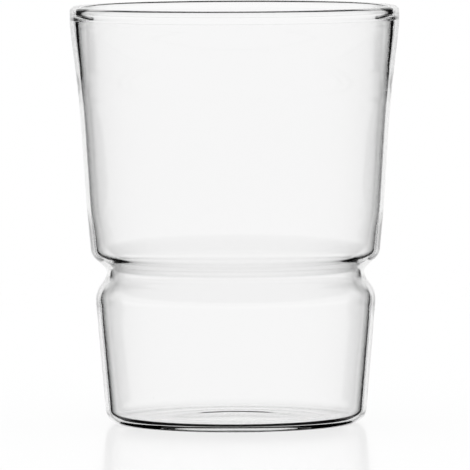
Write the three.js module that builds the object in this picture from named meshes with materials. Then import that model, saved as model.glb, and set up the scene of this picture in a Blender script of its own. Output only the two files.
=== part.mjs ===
// A stacking tumbler of clear blown glass: a flared upper bowl, a drawn-in waist and a tapered lower cup
// that stands on a thicker base with a shallow push-up. The real glass is one continuous wall. Here each zone
// that the glassmaker works by itself is a ring of its own, and it meets its neighbours face to face at a seam.
// Millimetres, +Z up, the origin in the middle of the resting plane.
import * as THREE from "three";

// Heights of the outer corners, each counted from the corner below it
const LOWER_CUP_HEIGHT = 31.3; // table to the shoulder of the lower cup
const SHOULDER_SLOPE_HEIGHT = 5.3; // shoulder to the middle of the waist
const STEP_SLOPE_HEIGHT = 4.0; // waist to the step under the upper bowl
const TUCK_HEIGHT = 10.9; // step to where the upper wall straightens
const BOWL_HEIGHT = 25.8; // straight stretch of the upper wall
const FLARE_HEIGHT = 18.1; // start of the flare to the foot of the lip
const LIP_HEIGHT = 4.6; // depth of the upright lip

// Radii of the outer corners, each counted from the corner below it
const BASE_RADIUS = 31.05; // corner of the heel
const LOWER_CUP_FLARE = 2.65; // heel out to the shoulder
const SHOULDER_INSET = 3.5; // shoulder in to the waist
const STEP_OVERHANG = 4.35; // waist out to the step
const TUCK_FLARE = 1.05; // step out to the straight stretch
const BOWL_FLARE = 1.7; // widening along the straight stretch
const RIM_FLARE = 2.25; // start of the flare out to the lip

// Underside
const HEEL_LIFT = 0.4; // height of the heel's corner over the table
const HEEL_OVERHANG = 8.5; // heel corner in to the resting ring
const RESTING_RING_WIDTH = 4.5;
const PUSH_UP_HEIGHT = 0.8; // how far the middle of the base is pushed up

// Glass thickness
const BASE_THICKNESS = 1.9;
const LOWER_CUP_WALL = 1.9;
const WAIST_WALL = 1.5;
const STEP_WALL = 1.4;
const BOWL_WALL = 1.5;
const RIM_WALL = 2.05;
const LIP_WALL = 2.45;

// The bead inside the lip
const BEAD_HEIGHT = 3.0; // top of the lip down to the neck under the bead
const BEAD_RISE = 1.4; // neck up to where the bead is thickest

// Rounding of the corners, outside and inside
const HEEL_ROUND = 3.4;
const SHOULDER_ROUND = 10.0;
const WAIST_ROUND = 2.2;
const STEP_ROUND = 3.3;
const LIP_ROUND = 1.1;
const INNER_HEEL_ROUND = 2.2;
const INNER_SHOULDER_ROUND = 8.3;
const INNER_WAIST_ROUND = 3.7;
const INNER_STEP_ROUND = 2.0;
const INNER_LIP_ROUND = 1.1;

// Seams: heights of the worked zones beside the corners
const HEEL_BAND = 7.0; // table to the top of the heel ring
const SHOULDER_BAND = 4.0; // shoulder corner down to the lower wall
const STEP_BAND = 4.0; // step corner up to the upper wall

// Fineness of the round stretches
const SEGMENTS = 48; // facets around the axis
const ARC_STEP = THREE.MathUtils.degToRad(24); // largest turn between two points of a rounding
const CURVE_STEPS = 4; // points along a shallow curve
const LONGEST_ROUND = 0.49; // share of a straight leg that one rounding may take up

const clearGlass = new THREE.MeshStandardMaterial({
  color: 0xf2f5f5,
  roughness: 0.03,
  metalness: 0,
  transparent: true,
  opacity: 0.35,
});

const point = (radius, height) => new THREE.Vector2(radius, height);

// Outer corners of the profile, from the table up to the lip
const heel = point(BASE_RADIUS, HEEL_LIFT);
const ringOuter = point(heel.x - HEEL_OVERHANG, 0);
const ringInner = point(ringOuter.x - RESTING_RING_WIDTH, 0);
const shoulder = point(heel.x + LOWER_CUP_FLARE, LOWER_CUP_HEIGHT);
const waist = point(shoulder.x - SHOULDER_INSET, shoulder.y + SHOULDER_SLOPE_HEIGHT);
const step = point(waist.x + STEP_OVERHANG, waist.y + STEP_SLOPE_HEIGHT);
const tuck = point(step.x + TUCK_FLARE, step.y + TUCK_HEIGHT);
const flare = point(tuck.x + BOWL_FLARE, tuck.y + BOWL_HEIGHT);
const lipFoot = point(flare.x + RIM_FLARE, flare.y + FLARE_HEIGHT);
const lip = point(lipFoot.x, lipFoot.y + LIP_HEIGHT);

// The inside of one leg of the wall: the line from one outer corner to the next, moved in by the glass there.
function insideOf(start, end, startWall, endWall) {
  const along = end.clone().sub(start).normalize();
  const inward = point(-along.y, along.x);
  return {
    start: start.clone().addScaledVector(inward, startWall),
    end: end.clone().addScaledVector(inward, endWall),
  };
}

// Where two lines of the profile cross.
function crossing(first, second) {
  const a = first.end.clone().sub(first.start);
  const b = second.end.clone().sub(second.start);
  const between = second.start.clone().sub(first.start);
  return first.start.clone().addScaledVector(a, between.cross(b) / a.cross(b));
}

const floorInside = { start: point(ringInner.x, BASE_THICKNESS), end: point(heel.x, BASE_THICKNESS) };
const lowerInside = insideOf(heel, shoulder, LOWER_CUP_WALL, LOWER_CUP_WALL);
const shoulderInside = insideOf(shoulder, waist, WAIST_WALL, WAIST_WALL);
const stepInside = insideOf(waist, step, WAIST_WALL, STEP_WALL);
const tuckInside = insideOf(step, tuck, STEP_WALL, STEP_WALL);
const bowlInside = insideOf(tuck, flare, STEP_WALL, BOWL_WALL);
const flareInside = insideOf(flare, lipFoot, BOWL_WALL, RIM_WALL);
const neck = point(lip.x - RIM_WALL, lip.y - BEAD_HEIGHT);
const bead = point(lip.x - LIP_WALL, neck.y + BEAD_RISE);
const lipInside = point(bead.x, lip.y);

// A corner of the profile as an arc that touches both of its legs.
function rounded(before, corner, after, radius) {
  const inLeg = corner.clone().sub(before);
  const outLeg = after.clone().sub(corner);
  const turn = Math.atan2(inLeg.cross(outLeg), inLeg.dot(outLeg));
  const halfTan = Math.tan(Math.abs(turn) / 2);
  const room = LONGEST_ROUND * Math.min(inLeg.length(), outLeg.length());
  const tangent = Math.min(radius * halfTan, room);
  const ahead = inLeg.normalize();
  const start = corner.clone().addScaledVector(ahead, -tangent);
  const toCentre = (Math.sign(turn) * tangent) / halfTan;
  const centre = start.clone().addScaledVector(point(-ahead.y, ahead.x), toCentre);
  const steps = Math.max(2, Math.ceil(Math.abs(turn) / ARC_STEP));
  return Array.from({ length: steps + 1 }, (_, i) => start.clone().rotateAround(centre, (turn * i) / steps));
}

// A line of corners with its roundings; corners without one stay sharp. The last corner only sets the direction
// in which the line ends.
function roundedLine(corners) {
  const places = corners.map((corner) => corner.at);
  return corners.slice(0, -1).flatMap((corner, i) =>
    corner.round ? rounded(places[i - 1], corner.at, places[i + 1], corner.round) : [corner.at],
  );
}

const outerLine = roundedLine([
  { at: ringInner },
  { at: ringOuter },
  { at: heel, round: HEEL_ROUND },
  { at: shoulder, round: SHOULDER_ROUND },
  { at: waist, round: WAIST_ROUND },
  { at: step, round: STEP_ROUND },
  { at: tuck },
  { at: flare },
  { at: lipFoot },
  { at: lip, round: LIP_ROUND },
  { at: lipInside },
]);

const innerLine = roundedLine([
  { at: floorInside.start },
  { at: crossing(floorInside, lowerInside), round: INNER_HEEL_ROUND },
  { at: crossing(lowerInside, shoulderInside), round: INNER_SHOULDER_ROUND },
  { at: crossing(shoulderInside, stepInside), round: INNER_WAIST_ROUND },
  { at: crossing(stepInside, tuckInside), round: INNER_STEP_ROUND },
  { at: crossing(tuckInside, bowlInside) },
  { at: crossing(bowlInside, flareInside) },
  { at: point(neck.x, lipFoot.y) },
  { at: neck },
  { at: bead },
  { at: lipInside, round: INNER_LIP_ROUND },
  { at: lip },
]);

// The stretch of a line between two heights, with a new end point on each cut.
function stretch(line, low, high) {
  const cut = (height) => {
    const i = line.findIndex((p) => p.y > height);
    const [below, above] = [line[i - 1], line[i]];
    return below.clone().lerp(above, (height - below.y) / (above.y - below.y)).setY(height);
  };
  const start = low > line[0].y ? [cut(low)] : [];
  const end = high < line.at(-1).y ? [cut(high)] : [];
  return [...start, ...line.filter((p) => p.y > low && p.y < high), ...end];
}

// An outline of the glass turned about the axis.
function turned(name, outline) {
  const geometry = new THREE.LatheGeometry(outline, SEGMENTS).rotateX(Math.PI / 2);
  const mesh = new THREE.Mesh(geometry, clearGlass.clone());
  mesh.name = name;
  return mesh;
}

// One ring of the wall between two seams: up its outside, down its inside and back to the start.
function wallRing(name, low, high) {
  const outside = stretch(outerLine, low, high);
  const inside = stretch(innerLine, low, high).reverse();
  const loop = [...outside, ...inside, outside[0]];
  return turned(
    name,
    loop.filter((p, i) => i === 0 || !p.equals(loop[i - 1])),
  );
}

// The middle of the base, pushed up a little inside the resting ring.
function baseDisc() {
  const dome = (height) => {
    const top = point(0, height + PUSH_UP_HEIGHT);
    const edge = point(ringInner.x, height);
    return new THREE.QuadraticBezierCurve(top, point(edge.x / 2, top.y), edge).getPoints(CURVE_STEPS);
  };
  return turned("base_disc", [...dome(0), ...dome(BASE_THICKNESS).reverse()]);
}

const lowerWaistSeam = (shoulder.y + waist.y) / 2;
const upperWaistSeam = (waist.y + step.y) / 2;

const tumbler = new THREE.Group();
tumbler.name = "tumbler";
tumbler.add(
  baseDisc(),
  wallRing("heel_ring", -Infinity, HEEL_BAND),
  wallRing("lower_cup_wall", HEEL_BAND, shoulder.y - SHOULDER_BAND),
  wallRing("lower_shoulder", shoulder.y - SHOULDER_BAND, lowerWaistSeam),
  wallRing("waist_ring", lowerWaistSeam, upperWaistSeam),
  wallRing("stacking_step", upperWaistSeam, step.y + STEP_BAND),
  wallRing("upper_bowl_wall", step.y + STEP_BAND, lipFoot.y),
  wallRing("rim_bead", lipFoot.y, Infinity),
);

export default tumbler;
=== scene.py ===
"""A waisted tumbler of clear blown glass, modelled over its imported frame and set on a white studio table."""

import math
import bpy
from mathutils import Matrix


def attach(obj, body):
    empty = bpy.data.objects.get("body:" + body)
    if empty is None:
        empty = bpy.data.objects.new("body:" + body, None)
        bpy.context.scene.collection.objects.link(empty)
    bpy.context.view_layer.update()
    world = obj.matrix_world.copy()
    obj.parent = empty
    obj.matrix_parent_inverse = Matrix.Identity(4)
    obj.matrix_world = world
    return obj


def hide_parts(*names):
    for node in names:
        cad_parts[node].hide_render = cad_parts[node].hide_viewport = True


bl_info = {
    "name": "Waisted tumbler",
    "version": (1, 0, 0),
    "blender": (4, 5, 0),
    "location": "View3D > Sidebar > Tumbler",
    "description": "Blows a waisted drinking glass and sets it on a white studio table",
    "category": "Object",
}

import bpy
from bpy.props import FloatProperty, IntProperty, PointerProperty
from mathutils import Vector

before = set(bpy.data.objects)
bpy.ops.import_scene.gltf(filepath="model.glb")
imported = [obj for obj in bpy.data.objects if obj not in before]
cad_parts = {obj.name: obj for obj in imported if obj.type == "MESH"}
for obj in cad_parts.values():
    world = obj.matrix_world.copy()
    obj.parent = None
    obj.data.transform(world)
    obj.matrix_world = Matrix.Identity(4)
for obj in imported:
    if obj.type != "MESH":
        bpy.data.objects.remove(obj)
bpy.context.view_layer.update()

MM = 0.001
FULL_TURN = 2 * math.pi
EIGHTH_TURN = math.pi / 4

# Fineness of the section
ARC_TURN = math.radians(5)
FEWEST_POINTS = 8
LONGEST_BEND = 0.49
DOME_STEPS = 24
SAME_PLACE = 1e-6

# Glass
GLASS_IOR = 1.473
SEED_SCALE = 95.0
SEED_SIZE = (0.008, 0.02)
SEED_TONE = 0.7
CLOUD_SCALE = 22.0
CLOUD_TONE = 0.994
DULLEST_POLISH = 0.004
WAVE_SCALE = 60.0
WAVE_STRETCH = (1.0, 1.0, 0.35)

# Table
TABLE_RADIUS = 0.6
TABLE_CORNERS = 128
TABLE_FADE = (0.35, 0.55)
TABLE_IOR = 1.05

# Light paths long enough for the glass
MOST_BOUNCES = 24
GLASS_BOUNCES = 16

SENSOR_WIDTH = 36.0
FARTHEST_SEEN = 50.0


def window(low, high):
    """The two ends of a light's soft edge, given in degrees."""
    return math.radians(low), math.radians(high)


# Soft edges of the studio's lights: TURN is counted round from the backdrop, the others over the horizon
HORIZON = window(0, 4)
BESIDE_TURN = window(44, 46)
UPRIGHT_FROM = window(-6, -4)
UPRIGHT_UP_TO = window(-0.5, 1)
FRONT_FROM = window(-28, -20)
FRONT_UP_TO = window(20, 30)
LIMB_TURN = window(26, 32)
LIMB_FROM = window(-1, 8)
LEVEL_TURN = window(66, 72)
LEVEL_FROM = window(-1, 2)
LEVEL_UP_TO = window(10, 14)
WALL_TURN = window(28, 36)
WALL_FROM = window(-50, -40)
WALL_UP_TO = window(-3.6, -2.4)
SLOPE_TURN = window(26, 34)
SLOPE_FROM = window(6, 12)
CORNER_EDGE = (0.8, 1.2)
FRONT_SOFT = 0.2
GUIDED_SOFT = 0.1

# Counts of reflections and of passes through a surface
NO_MORE_THAN_ONE = (1.0, 2.0)
AT_LEAST_ONE = (0.0, 1.0)
ALONG_THE_WALL = (4.0, 5.0)
IN_AND_OUT = 2.0
SAME_COUNT = 0.5


def length(name, description, millimetres):
    """A size that the user can change, shown in the scene's unit."""
    return FloatProperty(
        name=name, description=description, default=millimetres * MM, min=0.0, precision=5, unit="LENGTH"
    )


def angle(name, description, degrees):
    """An angle that the user can change."""
    return FloatProperty(name=name, description=description, default=math.radians(degrees), unit="ROTATION")


def share(name, description, value):
    """A plain number between nothing and all."""
    return FloatProperty(
        name=name, description=description, default=value, min=0.0, soft_max=1.0, subtype="FACTOR"
    )


def count(name, description, value):
    """A whole number that the user can change."""
    return IntProperty(name=name, description=description, default=value, min=1, subtype="UNSIGNED")


class TumblerSizes(bpy.types.PropertyGroup):
    """Corners, walls and roundings of the glass's section."""

    lower_cup_height: length("Lower cup", "Table to the shoulder of the lower cup", 31.3)
    shoulder_slope_height: length("Shoulder slope", "Shoulder up to the middle of the waist", 5.3)
    step_slope_height: length("Step slope", "Waist up to the step under the upper bowl", 4.0)
    tuck_height: length("Tuck", "Step up to where the upper wall straightens", 10.9)
    bowl_height: length("Bowl", "Straight stretch of the upper wall", 25.8)
    flare_height: length("Flare", "Start of the flare up to the lip", 18.1)
    lip_height: length("Lip height", "Depth of the upright lip", 4.6)
    base_radius: length("Base radius", "Axis to the corner of the heel", 30.95)
    lower_cup_flare: length("Lower cup flare", "Heel out to the shoulder", 2.65)
    shoulder_inset: length("Shoulder inset", "Shoulder in to the waist", 3.5)
    step_overhang: length("Step overhang", "Waist out to the step", 4.35)
    wall_round: length("Wall rounding", "Radius of the slow bends of the upper wall", 400.0)
    foot_round: length("Lip foot rounding", "Radius of the bend under the lip", 30.0)
    tuck_flare: length("Tuck flare", "Step out to the straight stretch", 1.05)
    bowl_flare: length("Bowl flare", "Widening along the straight stretch", 1.64)
    rim_flare: length("Rim flare", "Widening from the flare's start to the lip", 2.22)
    bead_height: length("Bead height", "Top of the lip down to the neck under its bead", 3.0)
    bead_rise: length("Bead rise", "Neck up to where the bead is thickest", 1.4)
    bead_round: length("Bead rounding", "Radius of the bead's inner side", 1.5)
    heel_lift: length("Heel lift", "Height of the heel's corner over the table", 0.4)
    heel_overhang: length("Heel overhang", "Heel corner in to the resting ring", 8.5)
    resting_ring_width: length("Resting ring", "Width of the ring that the glass stands on", 4.5)
    push_up_height: length("Push-up", "How far the middle of the base is pushed up", 0.8)
    base_thickness: length("Base", "Thickness of the base", 1.65)
    lower_cup_wall: length("Lower wall", "Thickness of the lower cup's wall", 1.54)
    shoulder_wall: length("Shoulder wall", "Thickness of the wall where the shoulder's bend starts", 1.74)
    waist_wall: length("Waist wall", "Thickness of the wall between shoulder and waist", 1.2)
    step_wall: length("Step wall", "Thickness of the wall at the step", 1.38)
    tuck_wall: length("Tuck wall", "Thickness of the wall where it straightens", 0.94)
    bowl_wall: length("Bowl wall", "Thickness of the wall where the flare starts", 0.92)
    flare_wall: length("Flare wall", "Thickness of the wall in the middle of the flare", 1.58)
    rim_wall: length("Rim wall", "Thickness of the wall under the lip", 2.0)
    lip_wall: length("Lip wall", "Thickness of the lip", 2.55)
    heel_round: length("Heel rounding", "Outer radius of the heel", 3.0)
    shoulder_round: length("Shoulder rounding", "Outer radius of the shoulder", 14.0)
    waist_round: length("Waist rounding", "Outer radius of the waist", 2.2)
    step_round: length("Step rounding", "Outer radius of the step", 3.3)
    lip_round: length("Lip rounding", "Radius of the lip's edges", 1.19)
    heel_ease: share("Heel ease", "How gently the heel's bend starts and ends", 1.0)
    bend_ease: share("Bend ease", "How gently the other bends start and end", 1.0)
    ring_round: length("Ring rounding", "Radius of the bend between the resting ring and the heel", 30.0)
    wave_depth: length("Wave depth", "Depth of the slow waves in the blown surface", 0.004)
    section_step: length("Section step", "Distance between two points of a straight stretch", 3.0)
    bend_step: length("Bend step", "Distance between two points of a bend", 0.45)
    turns: count("Turned steps", "Steps around the axis", 208)


class StudioSetup(bpy.types.PropertyGroup):
    """Camera, studio light and table."""

    camera_distance: length("Camera distance", "Axis of the glass to the lens", 1900.0)
    camera_height: length("Camera height", "Lens over the table", 166.0)
    aim_height: length("Aim height", "Point on the axis that the lens looks at", 45.2)
    side_shift: length("Side shift", "How far the lens stands to the left of the glass's axis", 0.1)
    view_width: length("View width", "Width of the picture at the glass", 112.4)
    roll: angle("Roll", "Turn of the camera about its own line of sight", -0.25)
    pool_height: angle("Pool height", "Height over the horizon of the middle of each pool of light", -5.0)
    pool_half: angle("Pool half-width", "Half the width of each pool of light seen from the glass", 26.8)
    pool_tall: angle("Pool half-height", "Half the height of each pool of light", 24.5)
    pool_soft: angle("Pool edge", "Width of a pool's soft edge", 0.9)
    pool_core: angle("Pool core", "Half the width of the evenly lit middle of a pool", 24.0)
    pool_rim: share("Pool rim light", "Light just inside the edge of a pool", 0.95)
    guided_light: share("Guided light", "Light that runs along inside the thick base", 0.85)
    guided_from: count("Guided from", "Reflections in the glass from which light counts as guided", 8)
    guided_half: angle("Guided half-width", "Half the width of the backdrop that sends guided light", 40.0)
    side_light: share("Side light", "Light of the other pools beside the one behind the glass", 1.0)
    corner_height: angle("Corner height", "Height over the horizon of the lights between the pools", -20.0)
    corner_half: angle("Corner half-width", "Half the width of the lights between the pools", 10.0)
    corner_tall: angle("Corner half-height", "Half the height of the lights between the pools", 14.0)
    room_light: share("Room light", "Light from the room over the horizon", 0.012)
    front_light: share("Front light", "Light from the camera's side of the room", 0.55)
    front_start: angle("Front light start", "How far round from the backdrop the front light starts", 39.0)
    lip_start: angle("Level front light start", "The same for the light that an upright wall reflects", 56.0)
    wall_light: share("Wall light", "Light that runs along inside the wall", 1.0)
    under_light: share("Under light", "Light from under the horizon beside the pools", 0.004)
    table_diffuse: share("Table white", "How much plain light the table sends back", 0.08)
    table_gloss: share("Table gloss", "How much of a grazing reflection the table keeps", 0.45)
    table_blur: share("Table blur", "Roughness of the table's mirror image", 0.15)


def rounded(before, corner, after, radius, ease, step):
    """Points of a bend that touches both legs of a corner; an eased one is tighter in its middle."""
    in_leg = corner - before
    out_leg = after - corner
    turn = math.atan2(in_leg.x * out_leg.y - in_leg.y * out_leg.x, in_leg.dot(out_leg))
    pieces = max(math.ceil(abs(turn) / ARC_TURN), math.ceil(abs(turn) * radius / step), FEWEST_POINTS)
    ahead = in_leg.normalized()
    path = [Vector((0.0, 0.0))]
    for i in range(pieces):
        t = (i + 0.5) / pieces
        a = turn * (t + ease * (t * t * (3 - 2 * t) - t))
        c, s = math.cos(a), math.sin(a)
        path.append(path[-1] + Vector((ahead.x * c - ahead.y * s, ahead.x * s + ahead.y * c)) / pieces)
    reach = path[-1].length / 2 / math.cos(turn / 2)
    room = LONGEST_BEND * min(in_leg.length, out_leg.length)
    size = min((1 + ease / 2) * abs(turn) * radius, room / reach)
    start = corner - ahead * reach * size
    return [start + point * size for point in path]


def rounded_line(corners, step):
    """A line through corners (place, rounding, ease); a corner with no rounding stays sharp."""
    line = []
    for i, (corner, radius, ease) in enumerate(corners):
        if radius:
            line += rounded(corners[i - 1][0], corner, corners[i + 1][0], radius, ease, step)
        else:
            line.append(corner)
    return line


def eased(stations, height):
    """Wall at a height, eased between the stations (height, wall) on either side."""
    for (low, low_wall), (high, high_wall) in zip(stations, stations[1:]):
        if height <= high:
            t = min(1.0, max(0.0, (height - low) / (high - low)))
            return low_wall + (high_wall - low_wall) * t * t * (3 - 2 * t)
    return stations[-1][1]


def inside_of(line, stations):
    """The inside of the glass: each point of the outside moved in, square to the line, by the wall there."""
    ends = [Vector((-line[1].x, line[1].y))] + line + [2 * line[-1] - line[-2]]
    points = []
    for before, point, after in zip(ends, line, ends[2:]):
        along = (after - before).normalized()
        points.append(point + Vector((-along.y, along.x)) * eased(stations, point.y))
    return points


def evenly(line, step):
    """The same line with points about a step apart."""
    points = [line[0]]
    for start, end in zip(line, line[1:]):
        pieces = max(1, round((end - start).length / step))
        points += [start.lerp(end, i / pieces) for i in range(1, pieces + 1)]
    return points


def glass_section(sizes):
    """Half the glass's section: from the axis under the base, over the lip and down to the floor."""
    heel = Vector((sizes.base_radius, sizes.heel_lift))
    ring_outer = Vector((heel.x - sizes.heel_overhang, 0.0))
    ring_inner = Vector((ring_outer.x - sizes.resting_ring_width, 0.0))
    shoulder = Vector((heel.x + sizes.lower_cup_flare, sizes.lower_cup_height))
    waist = shoulder + Vector((-sizes.shoulder_inset, sizes.shoulder_slope_height))
    step = waist + Vector((sizes.step_overhang, sizes.step_slope_height))
    tuck = step + Vector((sizes.tuck_flare, sizes.tuck_height))
    flare = tuck + Vector((sizes.bowl_flare, sizes.bowl_height))
    lip_foot = flare + Vector((sizes.rim_flare, sizes.flare_height))
    lip = lip_foot + Vector((0.0, sizes.lip_height))
    lip_inner = lip - Vector((sizes.lip_wall, 0.0))

    dome = []
    for i in range(DOME_STEPS):
        t = i / DOME_STEPS
        dome.append(Vector((ring_inner.x * t, sizes.push_up_height * (1 + math.cos(math.pi * t)) / 2)))
    ease = sizes.bend_ease
    outer = dome + rounded_line(
        [
            (ring_inner, 0, 0),
            (ring_outer, sizes.ring_round, 0),
            (heel, sizes.heel_round, sizes.heel_ease),
            (shoulder, sizes.shoulder_round, ease),
            (waist, sizes.waist_round, ease),
            (step, sizes.step_round, ease),
            (tuck, sizes.wall_round, ease),
            (flare, sizes.wall_round, ease),
            (lip_foot, 0, 0),
        ],
        sizes.bend_step,
    )
    stations = [
        (sizes.push_up_height, sizes.base_thickness),
        (heel.y + sizes.heel_round, sizes.lower_cup_wall),
        (shoulder.y - sizes.shoulder_round, sizes.shoulder_wall),
        ((shoulder.y + waist.y) / 2, sizes.waist_wall),
        ((waist.y + step.y) / 2, sizes.step_wall),
        (tuck.y, sizes.tuck_wall),
        (flare.y, sizes.bowl_wall),
        ((flare.y + lip_foot.y) / 2, sizes.flare_wall),
        (lip_foot.y, sizes.rim_wall),
    ]
    inner = inside_of(outer, stations)

    neck = lip - Vector((sizes.rim_wall, sizes.bead_height))
    bead = lip_inner - Vector((0.0, sizes.bead_height - sizes.bead_rise))

    rim = [
        (outer[-2], 0, 0),
        (outer[-1], sizes.foot_round, ease),
        (lip, sizes.lip_round, 0),
        (lip_inner, sizes.lip_round, 0),
        (bead, sizes.bead_round, ease),
        (neck, sizes.bead_round, ease),
        (inner[-1], sizes.foot_round, ease),
        (inner[-2], 0, 0),
    ]
    loop = outer[:-2] + rounded_line(rim, sizes.bend_step) + inner[-3::-1]
    return evenly(loop, sizes.section_step)


def start_mesh(name):
    """A new object with one vertex at the origin, open in edit mode."""
    bpy.ops.object.select_all(action="DESELECT")
    bpy.ops.mesh.primitive_plane_add(size=MM)
    piece = bpy.context.object
    piece.name = name
    piece.data.name = name
    bpy.ops.object.mode_set(mode="EDIT")
    bpy.ops.mesh.select_all(action="SELECT")
    bpy.ops.mesh.merge(type="CENTER")
    return piece


def glass_details():
    """Node group: a faint neutral tint, a few tiny seeds, and the slow waviness of blown glass."""
    group = bpy.data.node_groups.new("blown_glass_details", "ShaderNodeTree")
    group.interface.new_socket("Tint", in_out="OUTPUT", socket_type="NodeSocketColor")
    for name in ("Roughness", "Waves"):
        group.interface.new_socket(name, in_out="OUTPUT", socket_type="NodeSocketFloat")
    nodes, links = group.nodes, group.links
    result = nodes.new("NodeGroupOutput")
    place = nodes.new("ShaderNodeTexCoord")

    seeds = nodes.new("ShaderNodeTexVoronoi")
    seeds.inputs["Scale"].default_value = SEED_SCALE
    seeds.inputs["Randomness"].default_value = 1.0
    links.new(place.outputs["Object"], seeds.inputs["Vector"])
    seed = nodes.new("ShaderNodeMapRange")
    seed.inputs["From Min"].default_value = SEED_SIZE[0]
    seed.inputs["From Max"].default_value = SEED_SIZE[1]
    seed.inputs["To Min"].default_value = 1.0
    seed.inputs["To Max"].default_value = 0.0
    links.new(seeds.outputs["Distance"], seed.inputs["Value"])

    cloud = nodes.new("ShaderNodeTexNoise")
    cloud.inputs["Scale"].default_value = CLOUD_SCALE
    cloud.inputs["Detail"].default_value = 2.0
    links.new(place.outputs["Object"], cloud.inputs["Vector"])
    tint = nodes.new("ShaderNodeValToRGB")
    tint.color_ramp.elements[0].color = (CLOUD_TONE, CLOUD_TONE, CLOUD_TONE, 1.0)
    tint.color_ramp.elements[1].color = (1.0, 1.0, 1.0, 1.0)
    links.new(cloud.outputs["Fac"], tint.inputs["Fac"])
    speck = nodes.new("ShaderNodeMix")
    speck.data_type = "RGBA"
    speck.inputs["B"].default_value = (SEED_TONE, SEED_TONE, SEED_TONE, 1.0)
    links.new(seed.outputs["Result"], speck.inputs["Factor"])
    links.new(tint.outputs["Color"], speck.inputs["A"])
    links.new(speck.outputs["Result"], result.inputs["Tint"])

    polish = nodes.new("ShaderNodeMapRange")
    polish.inputs["To Min"].default_value = 0.0
    polish.inputs["To Max"].default_value = DULLEST_POLISH
    links.new(cloud.outputs["Fac"], polish.inputs["Value"])
    links.new(polish.outputs["Result"], result.inputs["Roughness"])

    stretch = nodes.new("ShaderNodeMapping")
    stretch.inputs["Scale"].default_value = WAVE_STRETCH
    links.new(place.outputs["Object"], stretch.inputs["Vector"])
    waves = nodes.new("ShaderNodeTexNoise")
    waves.inputs["Scale"].default_value = WAVE_SCALE
    waves.inputs["Detail"].default_value = 1.0
    links.new(stretch.outputs["Vector"], waves.inputs["Vector"])
    links.new(waves.outputs["Fac"], result.inputs["Waves"])
    return group


def glass_material(sizes):
    """Clear fire-polished glass, a little wavy, with a few tiny seeds."""
    material = bpy.data.materials.new("clear_glass")
    material.use_nodes = True
    nodes, links = material.node_tree.nodes, material.node_tree.links
    shader = nodes["Principled BSDF"]
    shader.inputs["IOR"].default_value = GLASS_IOR
    shader.inputs["Transmission Weight"].default_value = 1.0
    details = nodes.new("ShaderNodeGroup")
    details.node_tree = glass_details()
    links.new(details.outputs["Tint"], shader.inputs["Base Color"])
    links.new(details.outputs["Roughness"], shader.inputs["Roughness"])
    waves = nodes.new("ShaderNodeBump")
    waves.inputs["Strength"].default_value = 1.0
    waves.inputs["Distance"].default_value = sizes.wave_depth
    links.new(details.outputs["Waves"], waves.inputs["Height"])
    links.new(waves.outputs["Normal"], shader.inputs["Normal"])
    return material


class TUMBLER_OT_blow_glass(bpy.types.Operator):
    """Draw half the section of the glass and turn it about the axis"""

    bl_idname = "tumbler.blow_glass"
    bl_label = "Blow glass"

    def execute(self, context):
        sizes = context.scene.tumbler_sizes
        section = glass_section(sizes)
        glass = start_mesh("tumbler_glass")
        bpy.ops.transform.translate(value=(section[0].x, 0.0, section[0].y))
        for start, end in zip(section, section[1:]):
            move = (end.x - start.x, 0.0, end.y - start.y)
            bpy.ops.mesh.extrude_region_move(TRANSFORM_OT_translate={"value": move})
        bpy.ops.mesh.select_all(action="SELECT")
        bpy.ops.mesh.spin(steps=sizes.turns, angle=FULL_TURN, center=(0, 0, 0), axis=(0, 0, 1))
        bpy.ops.mesh.select_all(action="SELECT")
        bpy.ops.mesh.remove_doubles(threshold=SAME_PLACE)
        bpy.ops.mesh.normals_make_consistent(inside=False)
        bpy.ops.object.mode_set(mode="OBJECT")
        bpy.ops.object.shade_smooth()
        glass.data.materials.append(glass_material(sizes))
        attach(glass, "root")
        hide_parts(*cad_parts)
        return {"FINISHED"}


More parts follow.
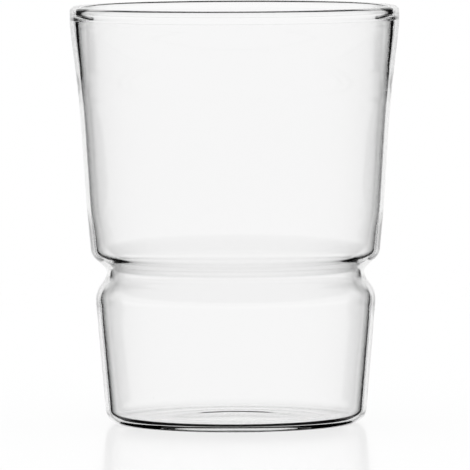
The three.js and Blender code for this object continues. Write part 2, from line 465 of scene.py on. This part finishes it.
class StudioRays:
    """The world's nodes: where a ray leaves to, how it came there, and sums on both."""

    def __init__(self, tree):
        self.nodes, self.links = tree.nodes, tree.links
        place = self.nodes.new("ShaderNodeTexCoord")
        axes = self.nodes.new("ShaderNodeSeparateXYZ")
        self.links.new(place.outputs["Generated"], axes.inputs[0])
        azimuth = self.math("ARCTAN2", axes.outputs["X"], axes.outputs["Y"])
        self.turned = self.math("ABSOLUTE", azimuth)
        self.off_pool = self.math("ABSOLUTE", self.math("WRAP", azimuth, EIGHTH_TURN, -EIGHTH_TURN))
        self.height = self.math("ARCSINE", axes.outputs["Z"])
        self.width = self.math("COSINE", self.height)
        path = self.nodes.new("ShaderNodeLightPath")
        self.in_glass = self.brightest(path.outputs["Is Glossy Ray"], path.outputs["Is Transmission Ray"])
        self.reflections = path.outputs["Glossy Depth"]
        self.passes = path.outputs["Transmission Depth"]
        self.once_at_most = self.fall(self.reflections, NO_MORE_THAN_ONE)
        self.once = self.product(self.once_at_most, self.rise(self.reflections, AT_LEAST_ONE))

    def feed(self, socket, value):
        """Link a socket to another, or set its number."""
        if isinstance(value, bpy.types.NodeSocket):
            self.links.new(value, socket)
        else:
            socket.default_value = value

    def math(self, operation, *values):
        node = self.nodes.new("ShaderNodeMath")
        node.operation = operation
        for socket, value in zip(node.inputs, values):
            self.feed(socket, value)
        return node.outputs[0]

    def product(self, result, *others):
        for other in others:
            result = self.math("MULTIPLY", result, other)
        return result

    def brightest(self, result, *others):
        for other in others:
            result = self.math("MAXIMUM", result, other)
        return result

    def spread(self, aside, up):
        """Distance from the middle of a light."""
        return self.math("SQRT", self.math("ADD", self.product(aside, aside), self.product(up, up)))

    def ramp(self, value, ends, at_low, at_high):
        """A smooth change between two ends of a value."""
        node = self.nodes.new("ShaderNodeMapRange")
        node.interpolation_type = "SMOOTHSTEP"
        self.feed(node.inputs["Value"], value)
        for name, number in zip(("From Min", "From Max", "To Min", "To Max"), (*ends, at_low, at_high)):
            self.feed(node.inputs[name], number)
        return node.outputs["Result"]

    def rise(self, value, ends):
        return self.ramp(value, ends, 0.0, 1.0)

    def fall(self, value, ends):
        return self.ramp(value, ends, 1.0, 0.0)

    def mix(self, share_of_second, first, second):
        node = self.nodes.new("ShaderNodeMix")
        for socket, value in zip((node.inputs[0], *node.inputs[2:4]), (share_of_second, first, second)):
            self.feed(socket, value)
        return node.outputs[0]


def pools(rays, studio):
    """The pool of light behind the glass, and three more around it for rays that were never reflected."""
    half, soft = studio.pool_half, studio.pool_soft
    up = rays.math("SUBTRACT", rays.height, studio.pool_height)
    off = rays.spread(rays.product(rays.off_pool, rays.width), rays.product(up, half / studio.pool_tall))
    pool = rays.fall(off, (half - soft / 2, half + soft / 2))
    dimmer_edge = rays.ramp(off, (studio.pool_core, half), 1.0, studio.pool_rim)
    unreflected = rays.ramp(rays.reflections, AT_LEAST_ONE, studio.side_light, 0.0)
    beside = rays.rise(rays.turned, BESIDE_TURN)
    return rays.product(pool, dimmer_edge, rays.mix(beside, rays.once_at_most, unreflected))


def corners(rays, studio):
    """Low lights between the pools, for rays that were never reflected."""
    aside = rays.product(rays.math("SUBTRACT", EIGHTH_TURN, rays.off_pool), rays.width)
    up = rays.math("SUBTRACT", rays.height, studio.corner_height)
    off = rays.spread(
        rays.math("DIVIDE", aside, studio.corner_half), rays.math("DIVIDE", up, studio.corner_tall)
    )
    unreflected = rays.ramp(rays.reflections, AT_LEAST_ONE, studio.side_light, 0.0)
    return rays.product(rays.fall(off, CORNER_EDGE), unreflected)


def guided(rays, studio):
    """Light that was reflected many times along the thick base."""
    first = studio.guided_from
    many = rays.ramp(rays.reflections, (first - 1, first), 0.0, studio.guided_light)
    behind = rays.fall(rays.turned, (studio.guided_half - GUIDED_SOFT, studio.guided_half + GUIDED_SOFT))
    low = rays.fall(rays.height, HORIZON)
    return rays.product(many, rays.brightest(low, behind))


def front(rays, studio):
    """Light from the camera's side of the room, for rays that were reflected once."""
    upright = rays.product(rays.rise(rays.height, UPRIGHT_FROM), rays.fall(rays.height, UPRIGHT_UP_TO))
    start = rays.mix(upright, studio.front_start, studio.lip_start)
    light = rays.ramp(rays.math("SUBTRACT", rays.turned, start), (0.0, FRONT_SOFT), 0.0, studio.front_light)
    low = rays.fall(rays.height, FRONT_UP_TO)
    high = rays.rise(rays.height, FRONT_FROM)
    return rays.product(light, low, rays.once, high)


def outside(rays):
    """White that the outer surface mirrors at a glancing angle and the table mirrors at the horizon."""
    limb = rays.product(rays.fall(rays.turned, LIMB_TURN), rays.rise(rays.height, LIMB_FROM))
    level = rays.product(rays.rise(rays.turned, LEVEL_TURN), rays.rise(rays.height, LEVEL_FROM))
    level = rays.product(level, rays.fall(rays.height, LEVEL_UP_TO))
    return rays.product(rays.brightest(limb, level), rays.fall(rays.passes, AT_LEAST_ONE), rays.once)


def in_wall(rays, studio):
    """White for rays that left a wall where they came in: run along inside it, or turned back in a slope."""
    one_wall = rays.math("COMPARE", rays.passes, IN_AND_OUT, SAME_COUNT)
    along = rays.ramp(rays.reflections, ALONG_THE_WALL, 0.0, studio.wall_light)
    along = rays.product(along, rays.fall(rays.turned, WALL_TURN))
    along = rays.product(along, rays.rise(rays.height, WALL_FROM), rays.fall(rays.height, WALL_UP_TO))
    slope = rays.product(rays.once, rays.fall(rays.turned, SLOPE_TURN), rays.rise(rays.height, SLOPE_FROM))
    return rays.product(one_wall, rays.brightest(along, slope))


def make_world(studio):
    """White to the camera and the table; to the glass, pools of light with dark gaps between them."""
    world = bpy.data.worlds.new("studio")
    bpy.context.scene.world = world
    world.use_nodes = True
    tree = world.node_tree
    rays = StudioRays(tree)
    room = rays.ramp(rays.height, HORIZON, studio.under_light, studio.room_light)
    lights = [light(rays, studio) for light in (pools, corners, guided, front, in_wall)]
    seen = rays.mix(rays.in_glass, 1.0, rays.brightest(room, outside(rays), *lights))
    tree.links.new(seen, tree.nodes["Background"].inputs["Color"])


def make_camera(studio):
    """A long lens at the photograph's place."""
    data = bpy.data.cameras.new("camera")
    data.sensor_width = SENSOR_WIDTH
    camera = bpy.data.objects.new("camera", data)
    bpy.context.scene.collection.objects.link(camera)
    lens = Vector((-studio.side_shift, -studio.camera_distance, studio.camera_height))
    aim = Vector((-studio.side_shift, 0.0, studio.aim_height))
    sight = aim - lens
    data.lens = data.sensor_width * sight.length / studio.view_width
    data.clip_end = FARTHEST_SEEN
    camera.location = lens
    camera.rotation_euler = sight.to_track_quat("-Z", "Y").to_euler()
    camera.rotation_euler.rotate_axis("Z", studio.roll)
    bpy.context.scene.camera = camera


def table_material(studio):
    """White satin that keeps the glass's shadow and a faint mirror image, and fades into the backdrop."""
    material = bpy.data.materials.new("white_table")
    material.use_nodes = True
    nodes, links = material.node_tree.nodes, material.node_tree.links
    nodes.remove(nodes["Principled BSDF"])
    plain = nodes.new("ShaderNodeBsdfDiffuse")
    plain.inputs["Color"].default_value = (studio.table_diffuse,) * 3 + (1.0,)
    mirror = nodes.new("ShaderNodeBsdfGlossy")
    mirror.inputs["Color"].default_value = (1.0, 1.0, 1.0, 1.0)
    mirror.inputs["Roughness"].default_value = studio.table_blur
    grazing = nodes.new("ShaderNodeFresnel")
    grazing.inputs["IOR"].default_value = TABLE_IOR
    gloss = nodes.new("ShaderNodeMath")
    gloss.operation = "MULTIPLY"
    links.new(grazing.outputs[0], gloss.inputs[0])
    gloss.inputs[1].default_value = studio.table_gloss
    satin = nodes.new("ShaderNodeMixShader")
    links.new(gloss.outputs[0], satin.inputs["Fac"])
    links.new(plain.outputs[0], satin.inputs[1])
    links.new(mirror.outputs[0], satin.inputs[2])
    fill = nodes.new("ShaderNodeEmission")
    rays = nodes.new("ShaderNodeLightPath")
    missing = nodes.new("ShaderNodeMapRange")
    links.new(gloss.outputs[0], missing.inputs["Value"])
    missing.inputs["To Min"].default_value = 1.0 - studio.table_diffuse
    missing.inputs["To Max"].default_value = 0.0
    level = nodes.new("ShaderNodeMath")
    level.operation = "MULTIPLY"
    links.new(rays.outputs["Is Camera Ray"], level.inputs[0])
    links.new(missing.outputs["Result"], level.inputs[1])
    links.new(level.outputs[0], fill.inputs["Strength"])
    white = nodes.new("ShaderNodeAddShader")
    links.new(satin.outputs[0], white.inputs[0])
    links.new(fill.outputs[0], white.inputs[1])
    place = nodes.new("ShaderNodeTexCoord")
    far = nodes.new("ShaderNodeVectorMath")
    far.operation = "LENGTH"
    links.new(place.outputs["Object"], far.inputs[0])
    fade = nodes.new("ShaderNodeMapRange")
    fade.interpolation_type = "SMOOTHSTEP"
    links.new(far.outputs["Value"], fade.inputs["Value"])
    fade.inputs["From Min"].default_value = TABLE_FADE[0]
    fade.inputs["From Max"].default_value = TABLE_FADE[1]
    clear = nodes.new("ShaderNodeBsdfTransparent")
    surface = nodes.new("ShaderNodeMixShader")
    links.new(fade.outputs["Result"], surface.inputs["Fac"])
    links.new(white.outputs[0], surface.inputs[1])
    links.new(clear.outputs[0], surface.inputs[2])
    links.new(surface.outputs[0], nodes["Material Output"].inputs["Surface"])
    return material


class TUMBLER_OT_set_stage(bpy.types.Operator):
    """Set up the table, the studio light and the camera"""

    bl_idname = "tumbler.set_stage"
    bl_label = "Set stage"

    def execute(self, context):
        studio = context.scene.tumbler_studio
        bpy.ops.object.select_all(action="DESELECT")
        bpy.ops.mesh.primitive_circle_add(vertices=TABLE_CORNERS, radius=TABLE_RADIUS, fill_type="NGON")
        table = bpy.context.object
        table.name = "table"
        table.visible_transmission = False
        table.visible_glossy = False
        table.data.materials.append(table_material(studio))
        make_world(studio)
        make_camera(studio)
        context.scene.view_settings.view_transform = "Standard"
        context.scene.cycles.max_bounces = MOST_BOUNCES
        context.scene.cycles.glossy_bounces = GLASS_BOUNCES
        context.scene.cycles.transmission_bounces = GLASS_BOUNCES
        return {"FINISHED"}


class TUMBLER_PT_panel(bpy.types.Panel):
    """Lists the steps and the sizes"""

    bl_label = "Tumbler"
    bl_idname = "TUMBLER_PT_panel"
    bl_space_type = "VIEW_3D"
    bl_region_type = "UI"
    bl_category = "Tumbler"

    def draw(self, context):
        column = self.layout.column()
        for operator in (TUMBLER_OT_blow_glass, TUMBLER_OT_set_stage):
            column.operator(operator.bl_idname)
        for group in (context.scene.tumbler_sizes, context.scene.tumbler_studio):
            for name in group.__annotations__:
                column.prop(group, name)


CLASSES = (TumblerSizes, StudioSetup, TUMBLER_OT_blow_glass, TUMBLER_OT_set_stage, TUMBLER_PT_panel)


def register():
    for cls in CLASSES:
        bpy.utils.register_class(cls)
    bpy.types.Scene.tumbler_sizes = PointerProperty(type=TumblerSizes)
    bpy.types.Scene.tumbler_studio = PointerProperty(type=StudioSetup)


def unregister():
    del bpy.types.Scene.tumbler_studio
    del bpy.types.Scene.tumbler_sizes
    for cls in reversed(CLASSES):
        bpy.utils.unregister_class(cls)


def main():
    register()
    bpy.ops.tumbler.set_stage()
    bpy.ops.tumbler.blow_glass()


if __name__ == "__main__":
    main()
